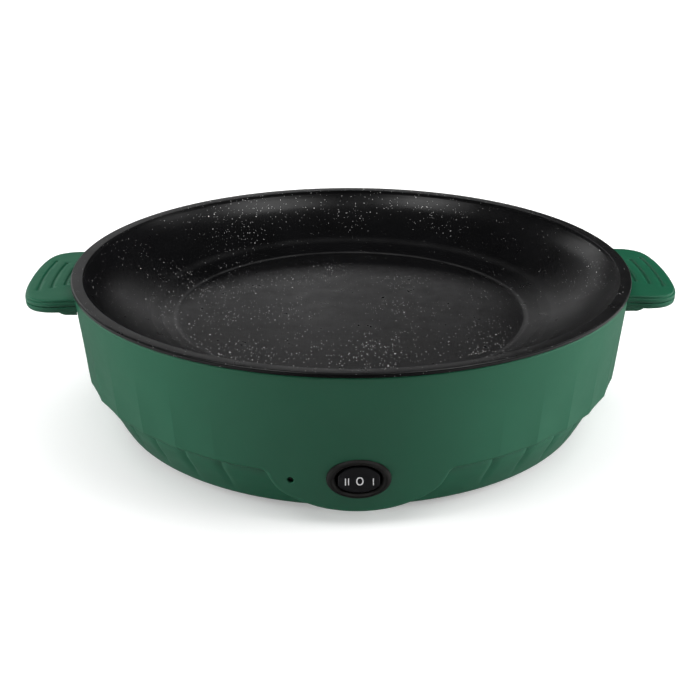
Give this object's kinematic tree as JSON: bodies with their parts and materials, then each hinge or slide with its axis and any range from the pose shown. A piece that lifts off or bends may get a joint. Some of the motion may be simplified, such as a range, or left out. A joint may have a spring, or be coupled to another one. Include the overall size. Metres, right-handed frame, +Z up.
{
  "type": "electric skillet",
  "caption": "Low electric skillet: a round non-stick pan fixed in a fluted housing with side handles, a three-position rocker switch and a rear appliance inlet.",
  "frame": {"origin": "on the table plane under the centre of the pan", "axes": "+Z up, -Y towards the switch (front), +X towards the right-hand handle seen from the front"},
  "size_m": [0.3636, 0.3124, 0.0844],
  "materials": {
    "nonstick_coating": "die-cast aluminium under a satin black non-stick coating with pale flecks",
    "gasket_rubber": "matte silicone",
    "housing_green": "satin moulded polypropylene, deep green",
    "black_plastic": "fine-grained moulded nylon",
    "rocker_plastic": "smooth satin, printed legends II O I",
    "foot_rubber": "matte",
    "steel": "zinc-plated",
    "aluminised_steel": "rolled, dull",
    "heater_sheath": "dark annealed sheath",
    "insulator": "unglazed ceramic and glass-fibre sleeve",
    "phenolic": "phenolic body with a metal cap",
    "brass": "stamped",
    "lamp_lens": "dark translucent lens, unlit",
    "wire_red": "silicone insulation",
    "wire_white": "silicone insulation",
    "wire_blue": "silicone insulation",
    "wire_green": "silicone insulation"
  },
  "bodies": {
    "cooker": {"pan": "nonstick_coating", "rim_gasket": "gasket_rubber", "shell": "housing_green", "handle_left_top": "housing_green", "handle_left_bottom": "housing_green", "handle_right_top": "housing_green", "handle_right_bottom": "housing_green", "handle_screw_left_a": "steel", "handle_screw_left_b": "steel", "handle_screw_right_a": "steel", "handle_screw_right_b": "steel", "base_cover": "black_plastic", "foot_front_left": "foot_rubber", "foot_front_right": "foot_rubber", "foot_rear_left": "foot_rubber", "foot_rear_right": "foot_rubber", "base_screw_front_left": "steel", "base_screw_front_right": "steel", "base_screw_rear_left": "steel", "base_screw_rear_right": "steel", "heat_shield": "aluminised_steel", "heater_tube": "heater_sheath", "heater_pin_left": "steel", "heater_pin_right": "steel", "heater_insulator_left": "insulator", "heater_insulator_right": "insulator", "thermostat": "phenolic", "thermostat_bracket": "steel", "thermostat_screw_left": "steel", "thermostat_screw_right": "steel", "thermal_fuse": "steel", "fuse_sleeve": "insulator", "fuse_clamp": "steel", "fuse_screw": "steel", "earth_screw": "brass", "switch_body": "black_plastic", "terminal_common": "brass", "terminal_low": "brass", "terminal_high": "brass", "half_power_diode": "black_plastic", "lamp_led": "lamp_lens", "lamp_holder": "black_plastic", "inlet_body": "black_plastic", "inlet_pin_live": "brass", "inlet_pin_neutral": "brass", "inlet_pin_earth": "brass", "inlet_screw_left": "steel", "inlet_screw_right": "steel", "wire_live": "wire_red", "wire_fuse": "wire_white", "wire_high": "wire_white", "wire_low": "wire_white", "wire_heater": "wire_white", "wire_neutral": "wire_blue", "wire_earth": "wire_green"},
    "rocker": {"switch_rocker": "rocker_plastic", "rocker_pin": "steel", "switch_spring": "steel", "switch_plunger": "brass"},
    "bridge": {"contact_bridge": "brass"}
  },
  "joints": [
    {"name": "rocker_tilt", "type": "hinge", "parent": "cooker", "child": "rocker", "pos_m": [0, -0.14856, 0.02791], "axis": [0, -0.1045, 0.9945], "range_deg": [-10, 10]},
    {"name": "bridge_tilt", "type": "hinge", "parent": "cooker", "child": "bridge", "pos_m": [0, -0.13673, 0.02915], "axis": [0, -0.1045, 0.9945], "range_deg": [-6.2, 6.2]}
  ],
  "couplings": [
    {"joint": "bridge_tilt", "follows": "rocker_tilt", "ratio": -0.6}
  ]
}
